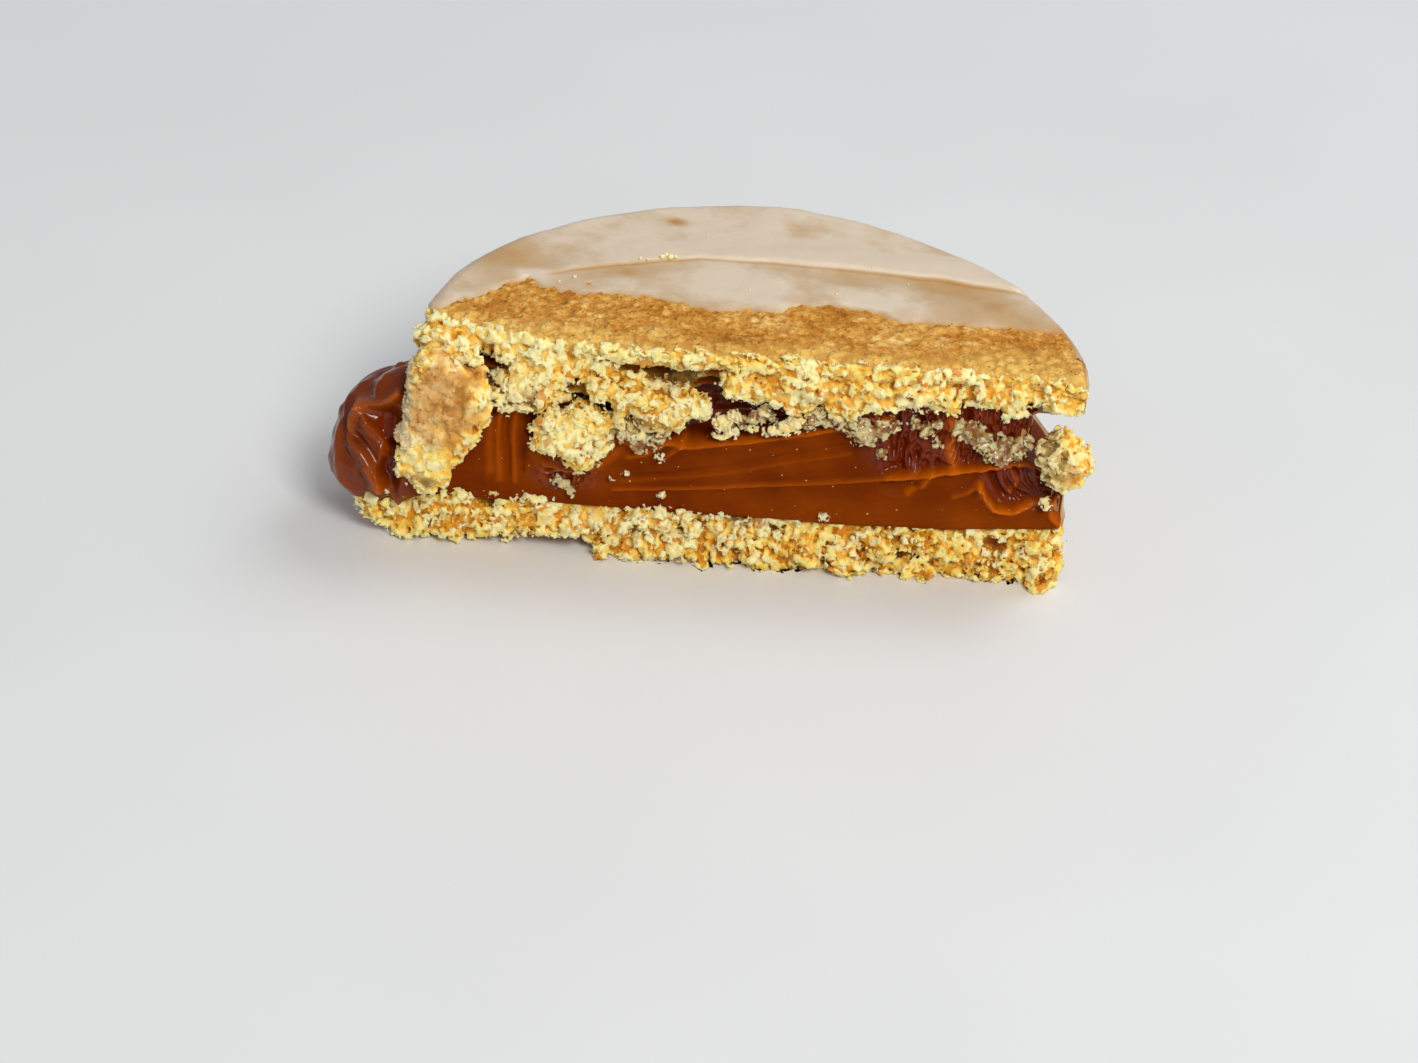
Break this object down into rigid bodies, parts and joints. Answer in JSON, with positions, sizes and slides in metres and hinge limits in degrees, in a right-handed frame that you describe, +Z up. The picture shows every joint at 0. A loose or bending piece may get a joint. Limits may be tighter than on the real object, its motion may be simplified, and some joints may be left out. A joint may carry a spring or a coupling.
{
  "type": "half alfajor cookie",
  "caption": "Half of a round iced alfajor, cut across: shortbread above and below a thick dulce de leche filling, with crumbled pieces and filling squeezed out at one end.",
  "frame": {"origin": "centre of the bounding box's lowest face, on the surface that the half rests on", "axes": "+X to the right along the cut, seen from in front of the cut face; +Y from the cut into the round side; +Z up through the layers"},
  "size_m": [0.0802, 0.0394, 0.0258],
  "materials": {
    "shortbread": "pale yellow crumbly shortbread, matt, with toasted flecks",
    "iced_shortbread": "toasted shortbread under a thin whitish sugar icing, satin",
    "dulce_de_leche": "glossy caramel brown, smooth where the knife passed, folded at the ends"
  },
  "bodies": {
    "root": {"lower_biscuit": "shortbread", "filling": "dulce_de_leche", "upper_biscuit": "iced_shortbread", "corner_piece": "shortbread", "hanging_piece": "shortbread", "end_piece": "shortbread"}
  },
  "joints": []
}
